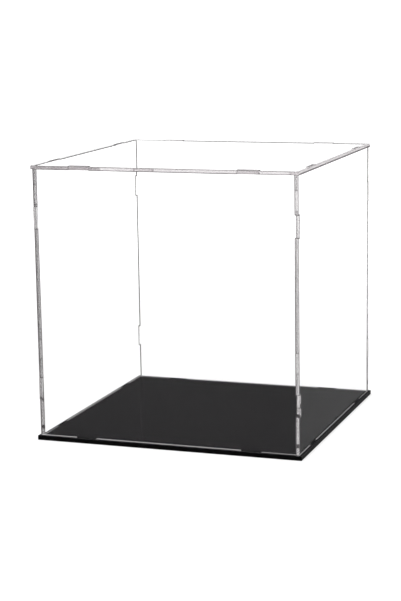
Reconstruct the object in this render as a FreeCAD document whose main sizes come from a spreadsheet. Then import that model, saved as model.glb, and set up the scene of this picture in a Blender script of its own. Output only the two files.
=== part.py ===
import FreeCAD, Part
import os
import Sketcher
from types import SimpleNamespace

# Clear display case that packs flat: six sheets that lock by their own tabs, slots and notches.
# A black base carries four identical clear walls, and a clear top panel drops over their upper tabs.
# Frame: +Z up, origin at the middle of the base's underside, the front wall faces -Y.

# Driving dimensions in millimetres.
SIZES = {
    "case_width": 270.0,      # across the outer faces of opposite walls
    "wall_height": 268.0,     # from the base's upper face to the top panel's underside
    "clear_sheet": 3.5,       # thickness of the walls and the top panel
    "base_sheet": 4.5,        # thickness of the base
    "top_overhang": 1.5,      # how far the top panel reaches past the walls
    "base_overhang": 2.5,     # how far the base reaches past the walls
    "tab_length": 22.0,       # each tab, along its edge
    "tab_spacing": 172.0,     # between the middles of the two tabs on an edge
    "tab_proud": 0.5,         # how far a tab stands out of the sheet that it passes through
    "tab_recess": 0.5,        # how far a lower tab stays short of the base's underside
    "fit_gap": 0.1,           # clearance on each side of a tab, and at a wall's butted edge
    "seat_gap": 0.05,         # clearance under a wall and over it
}

SIDES = 4                     # walls around the case, a quarter turn apart

doc = FreeCAD.newDocument("display_case")
sheet = doc.addObject("Spreadsheet::Sheet", "sizes")
for row, (name, value) in enumerate(SIZES.items(), start=1):
    sheet.set("A%d" % row, name)
    sheet.set("B%d" % row, str(value))
    sheet.setAlias("B%d" % row, name)
doc.recompute()


class Length:
    """A length: its value now, and the formula that ties it to the sizes."""

    def __init__(self, value, formula):
        self.value = value
        self.formula = formula

    def __add__(self, other):
        return Length(self.value + other.value, "(%s + %s)" % (self.formula, other.formula))

    def __sub__(self, other):
        return Length(self.value - other.value, "(%s - %s)" % (self.formula, other.formula))

    def __neg__(self):
        return Length(-self.value, "(-%s)" % self.formula)

    def half(self):
        return Length(self.value / 2, "(%s / 2)" % self.formula)


size = SimpleNamespace(**{name: Length(value, "sizes." + name) for name, value in SIZES.items()})
no_length = Length(0, "0")


def origin_plane(body, role):
    """One of a body's own origin planes."""
    return next(plane for plane in body.Origin.OriginFeatures if plane.Role == role)


def new_sketch(body, name, role):
    sketch = body.newObject("Sketcher::SketchObject", name)
    sketch.AttachmentSupport = [(origin_plane(body, role), "")]
    sketch.MapMode = "FlatFace"
    return sketch


def place(sketch, kind, line, length):
    """Ties the start of a line to a signed distance from the sketch's origin."""
    if length.value < 0:
        back = -length
        index = sketch.addConstraint(Sketcher.Constraint(kind, line, 1, -1, 1, back.value))
        sketch.setExpression("Constraints[%d]" % index, back.formula)
    else:
        index = sketch.addConstraint(Sketcher.Constraint(kind, -1, 1, line, 1, length.value))
        sketch.setExpression("Constraints[%d]" % index, length.formula)


def draw_loop(sketch, corners):
    """A closed, square-cornered outline through the given corners, every edge tied to the sheet."""
    points = [FreeCAD.Vector(across.value, up.value, 0) for across, up in corners]
    count = len(points)
    first = sketch.GeometryCount
    for here in range(count):
        sketch.addGeometry(Part.LineSegment(points[here], points[(here + 1) % count]), False)
    for here in range(count):
        line, following = first + here, first + (here + 1) % count
        sketch.addConstraint(Sketcher.Constraint("Coincident", line, 2, following, 1))
    for here, (across, up) in enumerate(corners):
        line = first + here
        next_across = corners[(here + 1) % count][0]
        if across.value == next_across.value:
            sketch.addConstraint(Sketcher.Constraint("Vertical", line))
            place(sketch, "DistanceX", line, across)
        else:
            sketch.addConstraint(Sketcher.Constraint("Horizontal", line))
            place(sketch, "DistanceY", line, up)


def draw_box(sketch, left, right, low, high):
    draw_loop(sketch, [(left, low), (right, low), (right, high), (left, high)])


def pad(body, name, sketch, thickness):
    """A sheet of the given thickness, cut to the sketch."""
    feature = body.newObject("PartDesign::Pad", name)
    feature.Profile = sketch
    feature.setExpression("Length", thickness.formula)
    doc.recompute()
    return feature


# Distances that the sheets share, so that every tab finds its slot.
half_width = size.case_width.half()
half_tab = size.tab_length.half()
half_slot = half_tab + size.fit_gap
tab_offsets = (-size.tab_spacing.half(), size.tab_spacing.half())
wall_bottom = size.base_sheet + size.seat_gap
wall_top = size.base_sheet + size.wall_height - size.seat_gap
wall_middle = size.base_sheet + size.wall_height.half()
top_underside = size.base_sheet + size.wall_height


def tab_run(middle, half_length, outer, inner):
    """Steps along one edge past its two tabs or notches: pairs of (along the edge, out from it)."""
    steps = []
    for offset in tab_offsets:
        start = middle + offset - half_length
        end = middle + offset + half_length
        steps += [(start, inner), (start, outer), (end, outer), (end, inner)]
    return steps


def wall_outline():
    """Counter-clockwise outline of a wall, from the lower corner of its notched edge.

    The notched edge lies in the case's corner, and the tabbed edge butts against the next wall."""
    notched_edge = no_length
    notch_floor = size.clear_sheet + size.fit_gap
    tabbed_edge = size.case_width - size.clear_sheet - size.fit_gap
    side_tab_tip = size.case_width + size.tab_proud
    lower_tab_tip = size.tab_recess
    upper_tab_tip = top_underside + size.clear_sheet + size.tab_proud

    lower = tab_run(half_width, half_tab, lower_tab_tip, wall_bottom)
    side = tab_run(wall_middle, half_tab, side_tab_tip, tabbed_edge)
    upper = tab_run(half_width, half_tab, upper_tab_tip, wall_top)
    notches = tab_run(wall_middle, half_slot, notch_floor, notched_edge)

    corners = [(notched_edge, wall_bottom)]
    corners += lower
    corners += [(tabbed_edge, wall_bottom)]
    corners += [(out, up) for up, out in side]
    corners += [(tabbed_edge, wall_top)]
    corners += reversed(upper)
    corners += [(notched_edge, wall_top)]
    corners += [(out, up) for up, out in reversed(notches)]
    return corners


def make_wall(label, quarter_turns, across, along):
    """One clear wall, drawn from its notched edge and inner face, then turned about the case's middle."""
    body = doc.addObject("PartDesign::Body", label)
    body.Label = label
    outline = new_sketch(body, label + "_outline", "XZ_Plane")
    draw_loop(outline, wall_outline())
    pad(body, label + "_sheet", outline, size.clear_sheet)
    turn = FreeCAD.Rotation(FreeCAD.Vector(0, 0, 1), 90 * quarter_turns)
    body.Placement = FreeCAD.Placement(FreeCAD.Vector(across.value, along.value, 0), turn)
    body.setExpression("Placement.Base.x", across.formula)
    body.setExpression("Placement.Base.y", along.formula)
    return body


def make_plate(label, overhang, thickness, underside):
    """A square sheet with two closed slots along each side, over the walls' tabs."""
    body = doc.addObject("PartDesign::Body", label)
    body.Label = label
    edge = half_width + overhang
    outline = new_sketch(body, label + "_outline", "XY_Plane")
    draw_box(outline, -edge, edge, -edge, edge)
    plate = pad(body, label + "_sheet", outline, thickness)

    slots = new_sketch(body, label + "_slots", "XY_Plane")
    slot_outer = -half_width - size.fit_gap
    slot_inner = -half_width + size.clear_sheet + size.fit_gap
    for offset in tab_offsets:
        draw_box(slots, offset - half_slot, offset + half_slot, slot_outer, slot_inner)
    cut = body.newObject("PartDesign::Pocket", label + "_front_slots")
    cut.Profile = slots
    cut.Type = "ThroughAll"
    cut.Reversed = True
    doc.recompute()
    if cut.Shape.Volume >= plate.Shape.Volume:
        raise RuntimeError("the slots miss " + label)

    around = body.newObject("PartDesign::PolarPattern", label + "_slots_around")
    around.Originals = [cut]
    around.Axis = (slots, ["N_Axis"])
    around.Angle = 360
    around.Occurrences = SIDES
    body.Tip = around
    body.Placement = FreeCAD.Placement(FreeCAD.Vector(0, 0, underside.value), FreeCAD.Rotation())
    body.setExpression("Placement.Base.z", underside.formula)
    doc.recompute()
    return body


inner_half = half_width - size.clear_sheet
pieces = [
    make_plate("base_plate", size.base_overhang, size.base_sheet, no_length),
    make_wall("front_wall", 0, -half_width, -inner_half),
    make_wall("right_wall", 1, inner_half, -half_width),
    make_wall("back_wall", 2, half_width, inner_half),
    make_wall("left_wall", 3, -inner_half, half_width),
    make_plate("top_panel", size.top_overhang, size.clear_sheet, top_underside),
]
doc.recompute()

for item in doc.Objects:
    if "Invalid" in item.State or "Error" in item.State:
        raise RuntimeError("%s failed: %s" % (item.Label, item.State))
for piece in pieces:
    shape = piece.Shape
    if shape.isNull() or not shape.isValid() or len(shape.Solids) != 1:
        raise RuntimeError("%s is not one sound solid" % piece.Label)

os.makedirs("parts", exist_ok=True)
for piece in pieces:
    piece.Shape.exportStep("parts/%s.step" % piece.Label)
    box = piece.Shape.BoundBox
    print(piece.Label, "%.2f x %.2f x %.2f mm" % (box.XLength, box.YLength, box.ZLength),
          "from z %.2f" % box.ZMin, "volume %.0f mm3" % piece.Shape.Volume)
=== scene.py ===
import bpy
from mathutils import Matrix, Vector


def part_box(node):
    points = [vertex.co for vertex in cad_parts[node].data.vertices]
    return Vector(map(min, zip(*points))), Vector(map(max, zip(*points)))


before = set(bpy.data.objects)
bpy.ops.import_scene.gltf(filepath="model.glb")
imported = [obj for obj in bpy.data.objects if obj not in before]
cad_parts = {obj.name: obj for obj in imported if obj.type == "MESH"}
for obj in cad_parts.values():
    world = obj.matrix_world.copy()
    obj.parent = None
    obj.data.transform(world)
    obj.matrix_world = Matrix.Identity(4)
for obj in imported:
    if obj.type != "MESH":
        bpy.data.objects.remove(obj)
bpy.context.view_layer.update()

# Looks of a clear display case on a black base, in metres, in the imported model's own frame.

scene = bpy.context.scene
X, Y, Z = range(3)
LEFT, RIGHT = -1, 1           # ends of the X axis

# The sheets.
IOR = 1.49                    # acrylic
FACE_SHINE = 0.10             # share of the clear sheets' mirror reflection that is kept
ARRIS = 0.00040               # how far a cut edge is rounded off
WELD_DISTANCE = 0.000001      # points closer than this are one point
TOTAL_REFLECTION = 0.98       # a Fresnel share above this is a full mirror from inside
BROAD_FACE = 0.97             # a point that faces along the sheet's axis more than this is on a broad face
ARRIS_FACING = (0.24, 0.96)   # one that does so by this much is on an arris
END_ON = 0.3                  # one that faces along X more than this is at an end of the top panel

# Their cut edges.
STRIPE = 1400.0               # laser marks on a cut edge, per metre along it
STRIPE_STRETCH = 0.04         # how much slower the marks change through the sheet than along it
STRIPE_DEPTH = 0.00004
EDGE_SPECULAR = 0.02          # a frosted edge has hardly any shine
BORDER_START = 0.62           # how far out from the sheet's middle the border of a cut edge begins
BORDER_SHADE = 0.3            # how dark the painted shade on the border gets
ARRIS_SHADE = 0.7             # how dark the painted shade on the arrises is
LEFT_SHADE = 0.35             # how dark the painted shade on the top panel's left end is
STRIP_SHADE = 0.75            # how dark the painted-shade strip on its right end is
STRIP_LIFT = 0.45             # how much less dark the painted highlight strip's border and arris are
END_FROST = 0.7               # share of the clear part of both ends that is frosted too
DULL_TINT = (0.8, 0.74, 0.765)
PALE_TINT = (1.0, 0.935, 0.96)
# hue of the painted highlight and painted shade on the walls' upper cut edges
RIM_LIGHT_AND_SHADE_TINT = (1.0, 0.97, 0.98)
# colour of the painted shade on the clear sheets' cut edges
SHADE_COLOUR = (0.06, 0.055, 0.06, 1)
# colour of the painted highlight along the walls' lower cut edges, where they sit on the base
SEAT_HIGHLIGHT_COLOUR = (0.56, 0.545, 0.55, 1)
# colour of the painted highlight strip on the top panel's right end
HIGHLIGHT_STRIP_COLOUR = (0.88, 0.85, 0.86, 1)

base_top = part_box("base_plate")[1][Z]
top_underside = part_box("top_panel")[0][Z]
SEAT = (base_top - 0.0001, base_top + 0.0007)             # heights of the walls' lower cut edges
RIM = (top_underside - 0.0006, top_underside + 0.0001)    # heights of the walls' upper cut edges
FOOT = top_underside + 0.0017                             # how high the top panel's painted-shade strip reaches

# The camera that was fitted to the case's edges in the photograph.
FOCAL_PIXELS = 1700.48
PICTURE_PIXELS = 601          # the picture's longer side
SENSOR = 36.0
CAMERA_PLACE = (0.57114, -1.63869, 0.45349)
CAMERA_RIGHT = Vector((0.94322856, 0.3317664, -0.01584135))
CAMERA_UP = Vector((-0.04727278, 0.18130179, 0.98229066))
CAMERA_BACK = Vector((0.3287631, -0.92577574, 0.18669255))

# The studio.
FLOOR_SIZE = 20.0
FLOOR_DROP = 0.0001           # the floor lies this far below the base, so that they don't touch
GLOW_NEAR, GLOW_FAR = 0.3, 1.6    # distances between which the floor's glow grows
LAMP_AIM = (0, 0, 0.1)
LAMPS = (                     # name, place, width, power
    ("key", (-0.9, -1.1, 1.9), 1.2, 20),
    ("fill", (1.4, -0.4, 1.6), 1.2, 10),
    ("rim", (0.3, 1.6, 1.8), 1.4, 12),
)
SHEET_BOUNCES = 96            # enough for light that runs along inside a sheet
CLEAR_BOUNCES = 64
DIFFUSE_BOUNCES = 4


class Nodes:
    """A node tree that is written as nested calls."""

    def __init__(self, tree):
        self.tree = tree
        tree.nodes.clear()

    def add(self, kind, *inputs, named=None, **settings):
        """A new node, with inputs fed in their order or by name."""
        node = self.tree.nodes.new("ShaderNode" + kind)
        for key, value in settings.items():
            setattr(node, key, value)
        for index, value in enumerate(inputs):
            self.feed(node.inputs[index], value)
        for name, value in (named or {}).items():
            self.feed(node.inputs[name], value)
        return node

    def feed(self, socket, value):
        """Links an input to another node's output, or sets it to a plain value."""
        if value is None:
            return
        if isinstance(value, bpy.types.NodeSocket):
            self.tree.links.new(value, socket)
        else:
            socket.default_value = value

    def math(self, operation, *inputs, clamp=False):
        return self.add("Math", *inputs, operation=operation, use_clamp=clamp).outputs[0]

    def mix(self, factor, first, second):
        """A number between two numbers."""
        return self.add("Mix", factor, None, first, second).outputs[0]

    def tint(self, factor, first, second):
        """A colour between two colours."""
        node = self.add("Mix", factor, data_type="RGBA")
        self.feed(node.inputs[6], first)
        self.feed(node.inputs[7], second)
        return node.outputs[2]

    def blend(self, factor, first, second):
        """One shader fading into another."""
        return self.add("MixShader", factor, first, second).outputs[0]

    def spread(self, value, low, high, start=0.0, end=1.0):
        """A number moved smoothly from one range to another, and kept inside it."""
        return self.add("MapRange", value, low, high, start, end, interpolation_type="SMOOTHSTEP").outputs[0]

    def ramp(self, value, *stops):
        """A grey that runs through stops, each of them a position and a tone."""
        node = self.add("ValToRGB", value)
        marks = node.color_ramp.elements
        while len(marks) < len(stops):
            marks.new(0.5)
        for mark, (position, tone) in zip(marks, stops):
            mark.position = position
            mark.color = (tone, tone, tone, 1.0)
        return node.outputs[0]

    def place(self, *stretch):
        """Where a point is on the part, stretched along each axis."""
        here = self.add("TexCoord").outputs["Object"]
        return self.add("VectorMath", here, stretch, operation="MULTIPLY").outputs[0]

    def noise(self, place, scale, detail):
        named = {"Vector": place, "Scale": scale, "Detail": detail}
        return self.add("TexNoise", named=named).outputs[0]

    def patches(self, scale, detail, low, high, stretch=(1, 1, 1)):
        """Patches of 1 on 0, where a noise rises from low to high."""
        return self.spread(self.noise(self.place(*stretch), scale, detail), low, high)

    def bump(self, height, strength, distance):
        named = {"Height": height, "Strength": strength, "Distance": distance}
        return self.add("Bump", named=named).outputs[0]

    def principled(self, **inputs):
        """A Principled shader. Its inputs are named as in Blender, in small letters with underscores."""
        node = self.add("BsdfPrincipled")
        for name, value in inputs.items():
            self.feed(node.inputs[name.replace("_", " ").title().replace("Ior", "IOR")], value)
        return node.outputs[0]

    def mirrored(self, path):
        """Whether a ray has met no mirror yet, and whether it has met more than two."""
        count = path.outputs["Glossy Depth"]
        return self.math("LESS_THAN", count, 0.5), self.math("GREATER_THAN", count, 2.5)


def new_material(name):
    material = bpy.data.materials.new(name)
    material.use_nodes = True
    return material, Nodes(material.node_tree)


def toned(tint, tone):
    """A tint, made as pale as the tone."""
    return (*(tone * part for part in tint), 1)


class CutSheet:
    """What a sheet's material knows of where it is: which way its faces look and how deep a point lies."""

    def __init__(self, nodes, node, axis):
        self.nodes = nodes
        self.axis = axis
        low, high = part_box(node)
        self.middle = abs(low[axis] + high[axis]) / 2
        self.half = (high[axis] - low[axis]) / 2
        self.here = nodes.add("SeparateXYZ", nodes.place(1, 1, 1)).outputs
        self.normal = nodes.add("SeparateXYZ", nodes.add("NewGeometry").outputs["True Normal"]).outputs
        self.facing = nodes.math("ABSOLUTE", self.normal[axis])

    def edge(self):
        """1 on the cut edges and their arrises, 0 on the broad faces."""
        return self.nodes.math("LESS_THAN", self.facing, BROAD_FACE)

    def arris(self):
        """1 on the rounded corners of the cut edges."""
        low, high = ARRIS_FACING
        return self.nodes.math("COMPARE", self.facing, (low + high) / 2, (high - low) / 2)

    def border(self):
        """From 0 in the middle of a cut edge to 1 where it meets the faces."""
        depth = self.nodes.math("SUBTRACT", self.nodes.math("ABSOLUTE", self.here[self.axis]), self.middle)
        return self.nodes.spread(self.nodes.math("ABSOLUTE", depth), BORDER_START * self.half, self.half)

    def between(self, low, high):
        """1 between two heights."""
        return self.nodes.math("COMPARE", self.here[Z], (low + high) / 2, (high - low) / 2)

    def end(self, side):
        """1 on the cut edge and arrises at the sheet's left or right end."""
        end_on = self.nodes.math("GREATER_THAN", self.nodes.math("ABSOLUTE", self.normal[X]), END_ON)
        there = self.nodes.math("GREATER_THAN", self.nodes.math("MULTIPLY", self.here[X], side), 0.0)
        return self.nodes.math("MULTIPLY", end_on, there)

    def stripes(self):
        """Fine marks that the cut left across the edge."""
        stretch = [1.0, 1.0, 1.0]
        stretch[self.axis] = STRIPE_STRETCH
        return self.nodes.noise(self.nodes.place(*stretch), STRIPE, 3.0)


def polished(nodes, roughness):
    """Clear sheet that mirrors fully from inside, and otherwise keeps only a share of its shine."""
    glass = nodes.principled(base_color=(0.99, 0.99, 0.99, 1), roughness=roughness, ior=IOR,
                             transmission_weight=1.0)
    bent = nodes.add("BsdfRefraction", (0.995, 0.995, 0.995, 1), roughness, IOR).outputs[0]
    leaving = nodes.math("LESS_THAN", nodes.add("Fresnel", IOR).outputs[0], TOTAL_REFLECTION)
    return nodes.blend(nodes.math("MULTIPLY", leaving, 1.0 - FACE_SHINE), glass, bent)


def clear_acrylic(name, node, axis, open_share, frost_and_painted_light, rim=None):
    """Clear sheet with polished faces.

    open_share of a cut edge is polished through, and the rest is frosted, as pale as
    frost_and_painted_light, a tone set sheet by sheet that carries painted light and shade besides the
    frosting's own paleness.
    With a rim, the upper cut edge is all frosted, and painted as pale as that: a painted highlight where rim
    is high, painted shade where it is low."""
    material, nodes = new_material(name)
    cut = CutSheet(nodes, node, axis)
    stripes = cut.stripes()

    smudge = nodes.patches(scale=35.0, detail=6.0, low=0.5, high=0.75)
    face = polished(nodes, nodes.mix(smudge, 0.004, 0.03))

    drift = nodes.patches(scale=22.0, detail=2.0, low=0.35, high=0.65)
    frosted_and_painted_colour = nodes.tint(drift, toned(DULL_TINT, frost_and_painted_light), toned(PALE_TINT, frost_and_painted_light))
    arris = cut.arris()
    # Painted shade: each cut edge darkens towards its border and its arrises.
    border_shade = nodes.math("MULTIPLY", cut.border(), BORDER_SHADE)
    shade = nodes.math("MAXIMUM", border_shade, nodes.math("MULTIPLY", arris, ARRIS_SHADE))
    flat = nodes.math("SUBTRACT", 1.0, arris)
    opened = nodes.math("MULTIPLY", flat, open_share)
    if axis == Z:
        # The top panel's left end gets painted shade, and its right end a painted highlight strip over a
        # painted-shade strip.
        left, right = cut.end(LEFT), cut.end(RIGHT)
        shade_strip = nodes.math("MULTIPLY", right, nodes.math("LESS_THAN", cut.here[Z], FOOT))
        highlight_strip = nodes.math("SUBTRACT", right, shade_strip)
        frosted_and_painted_colour = nodes.tint(highlight_strip, frosted_and_painted_colour, HIGHLIGHT_STRIP_COLOUR)
        shade = nodes.math("SUBTRACT", shade, nodes.math("MULTIPLY", highlight_strip, STRIP_LIFT), clamp=True)
        shade = nodes.math("MAXIMUM", shade, nodes.math("MULTIPLY", left, LEFT_SHADE))
        shade = nodes.math("MAXIMUM", shade, nodes.math("MULTIPLY", shade_strip, STRIP_SHADE))
        ends = nodes.math("ADD", left, right)
        opened = nodes.math("MULTIPLY", opened, nodes.math("MULTIPLY_ADD", ends, -END_FROST, 1.0))
    # The painted shade goes into the frosted colour here.
    frosted_and_painted_colour = nodes.tint(shade, frosted_and_painted_colour, SHADE_COLOUR)
    # Painted highlight along the walls' lower cut edges.
    frosted_and_painted_colour = nodes.tint(cut.between(*SEAT), frosted_and_painted_colour, SEAT_HIGHLIGHT_COLOUR)
    if rim:
        # Painted light and shade: the upper cut edge takes the tone rim, high on the right wall and low on
        # the back and left walls.
        upper = nodes.math("MULTIPLY", cut.between(*RIM), flat)
        frosted_and_painted_colour = nodes.tint(upper, frosted_and_painted_colour, toned(RIM_LIGHT_AND_SHADE_TINT, rim))
        opened = nodes.math("SUBTRACT", opened, upper, clamp=True)
    frosted = nodes.principled(base_color=frosted_and_painted_colour, roughness=nodes.mix(stripes, 0.4, 0.6), ior=IOR,
                               specular_ior_level=EDGE_SPECULAR,
                               normal=nodes.bump(stripes, 0.1, STRIPE_DEPTH))
    through = polished(nodes, nodes.mix(stripes, 0.04, 0.12))
    sheet = nodes.blend(cut.edge(), face, nodes.blend(opened, frosted, through))

    # Light passes straight through on its way to the base and the floor.
    path = nodes.add("LightPath")
    passing = nodes.math("MAXIMUM", path.outputs["Is Shadow Ray"], path.outputs["Is Diffuse Ray"])
    clear = nodes.add("BsdfTransparent", (0.97, 0.97, 0.97, 1)).outputs[0]
    out = nodes.add("OutputMaterial", nodes.blend(passing, sheet, clear))
    inside = nodes.add("VolumeAbsorption", (0.5, 0.47, 0.48, 1), 1.6)
    nodes.feed(out.inputs["Volume"], inside.outputs[0])
    return material


def black_acrylic(name, node, axis):
    """Black sheet with glossy faces, which have hairline scratches, haze and dust, and dull cut edges."""
    material, nodes = new_material(name)
    cut = CutSheet(nodes, node, axis)
    stripes = cut.stripes()

    hairlines = nodes.patches(scale=1.0, detail=4.0, low=0.66, high=0.72, stretch=(60, 1100, 1))
    crossing = nodes.patches(scale=1.0, detail=4.0, low=0.68, high=0.73, stretch=(900, 45, 1))
    scratches = nodes.math("MAXIMUM", hairlines, crossing)
    haze = nodes.noise(nodes.place(1, 1, 1), 30.0, 5.0)
    dust = nodes.patches(scale=900.0, detail=1.0, low=0.74, high=0.8)
    gloss = nodes.math("MULTIPLY_ADD", scratches, 0.12, nodes.mix(haze, 0.02, 0.08))
    face_colour = nodes.tint(dust, (0.0065, 0.0055, 0.0068, 1), (0.05, 0.048, 0.048, 1))
    face = nodes.principled(base_color=face_colour, roughness=gloss, ior=IOR,
                            normal=nodes.bump(scratches, 0.15, 0.00002))

    # The arrises of the cut edges are lighter in patches: partly wear, partly a painted highlight.
    arris_patches = nodes.patches(scale=160.0, detail=4.0, low=0.4, high=0.7)
    arris_wear_and_highlight = nodes.math("MULTIPLY", cut.arris(), arris_patches)
    edge_colour = nodes.tint(arris_wear_and_highlight, (0.002, 0.002, 0.002, 1), (0.03, 0.03, 0.032, 1))
    edge = nodes.principled(base_color=edge_colour, roughness=nodes.mix(stripes, 0.3, 0.55), ior=IOR,
                            specular_ior_level=EDGE_SPECULAR,
                            normal=nodes.bump(stripes, 0.3, STRIPE_DEPTH))
    nodes.add("OutputMaterial", nodes.blend(cut.edge(), face, edge))
    return material


def dress(node, material):
    """Puts a material on a sheet and rounds its cut edges off a little."""
    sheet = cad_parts[node]
    sheet.data.materials.clear()
    sheet.data.materials.append(material)
    weld = sheet.modifiers.new("weld", "WELD")
    weld.merge_threshold = WELD_DISTANCE
    arris = sheet.modifiers.new("arris", "BEVEL")
    arris.width = ARRIS
    arris.segments = 2
    arris.limit_method = "ANGLE"


dress("base_plate", black_acrylic("black_sheet", "base_plate", Z))
# Frosted-edge and rim tones differ from sheet to sheet as painted light and shade: the top panel's paler
# frosted edges and the right wall's pale rim are painted light, the left wall's darker frosted edges and the
# back and left walls' dark rims painted shade.
dress("front_wall", clear_acrylic("clear_sheet_front", "front_wall", Y, 0.72, 0.3))
dress("back_wall", clear_acrylic("clear_sheet_back", "back_wall", Y, 0.72, 0.3, rim=0.05))
dress("right_wall", clear_acrylic("clear_sheet_right", "right_wall", X, 0.72, 0.3, rim=0.7))
dress("left_wall", clear_acrylic("clear_sheet_left", "left_wall", X, 0.58, 0.16, rim=0.12))
dress("top_panel", clear_acrylic("clear_sheet_top", "top_panel", Z, 0.66, 0.64))


def make_floor():
    """A floor that glows white where it is looked at, and is plain in reflections."""
    mesh = bpy.data.meshes.new("floor")
    corners = [(-FLOOR_SIZE, -FLOOR_SIZE, -FLOOR_DROP), (FLOOR_SIZE, -FLOOR_SIZE, -FLOOR_DROP),
               (FLOOR_SIZE, FLOOR_SIZE, -FLOOR_DROP), (-FLOOR_SIZE, FLOOR_SIZE, -FLOOR_DROP)]
    mesh.from_pydata(corners, [], [(0, 1, 2, 3)])
    floor = bpy.data.objects.new("floor", mesh)
    scene.collection.objects.link(floor)
    material, nodes = new_material("floor")
    path = nodes.add("LightPath")
    straight, trapped = nodes.mirrored(path)
    direct = nodes.math("ADD", straight, trapped)
    seen = nodes.math("SUBTRACT", direct, path.outputs["Is Diffuse Ray"], clamp=True)
    away = nodes.add("VectorMath", nodes.add("NewGeometry").outputs["Position"], operation="LENGTH")
    far = nodes.spread(away.outputs["Value"], GLOW_NEAR, GLOW_FAR)
    lit = nodes.add("BsdfDiffuse", (0.5, 0.5, 0.5, 1)).outputs[0]
    glow = nodes.add("Emission", (1, 1, 1, 1), nodes.mix(far, 0.55, 1.0)).outputs[0]
    bright = nodes.add("AddShader", lit, glow).outputs[0]
    plain = nodes.add("BsdfDiffuse", (0.8, 0.8, 0.8, 1)).outputs[0]
    nodes.add("OutputMaterial", nodes.blend(seen, plain, bright))
    mesh.materials.append(material)


def make_world():
    """White where it is looked at, straight or through the case, and a dimmer studio in reflections."""
    world = bpy.data.worlds.new("studio")
    scene.world = world
    world.use_nodes = True
    nodes = Nodes(world.node_tree)
    path = nodes.add("LightPath")
    straight, trapped = nodes.mirrored(path)
    up = nodes.add("SeparateXYZ", nodes.add("TexCoord").outputs["Generated"]).outputs["Z"]
    grey = nodes.ramp(up, (0.0, 0.9), (0.12, 0.9), (0.18, 0.07), (0.4, 0.07), (0.6, 0.7))
    studio = nodes.add("Background", nodes.tint(trapped, grey, (0.95, 0.95, 0.95, 1)), 1.0).outputs[0]
    white = nodes.add("Background", (1, 1, 1, 1), 1.1).outputs[0]
    through = nodes.math("MULTIPLY", path.outputs["Is Transmission Ray"], straight)
    seen = nodes.math("MAXIMUM", path.outputs["Is Camera Ray"], through)
    nodes.add("OutputWorld", nodes.blend(seen, studio, white))


def make_lamp(name, place, width, power):
    """A square lamp that looks at the case."""
    lamp = bpy.data.lights.new(name, "AREA")
    lamp.size = width
    lamp.energy = power
    holder = bpy.data.objects.new(name, lamp)
    holder.location = place
    holder.rotation_euler = (Vector(LAMP_AIM) - Vector(place)).to_track_quat("-Z", "Y").to_euler()
    scene.collection.objects.link(holder)


def make_camera():
    camera = bpy.data.cameras.new("camera")
    camera.sensor_width = SENSOR
    camera.lens = FOCAL_PIXELS / PICTURE_PIXELS * SENSOR
    camera.clip_start = 0.05
    camera.clip_end = 100.0
    holder = bpy.data.objects.new("camera", camera)
    turn = Matrix((CAMERA_RIGHT, CAMERA_UP, CAMERA_BACK)).transposed().to_4x4()
    holder.matrix_world = Matrix.Translation(CAMERA_PLACE) @ turn
    scene.collection.objects.link(holder)
    scene.camera = holder


make_floor()
make_world()
for lamp in LAMPS:
    make_lamp(*lamp)
make_camera()

scene.view_settings.view_transform = "Standard"
scene.cycles.max_bounces = SHEET_BOUNCES
scene.cycles.glossy_bounces = SHEET_BOUNCES
scene.cycles.transmission_bounces = SHEET_BOUNCES
scene.cycles.transparent_max_bounces = CLEAR_BOUNCES
scene.cycles.diffuse_bounces = DIFFUSE_BOUNCES
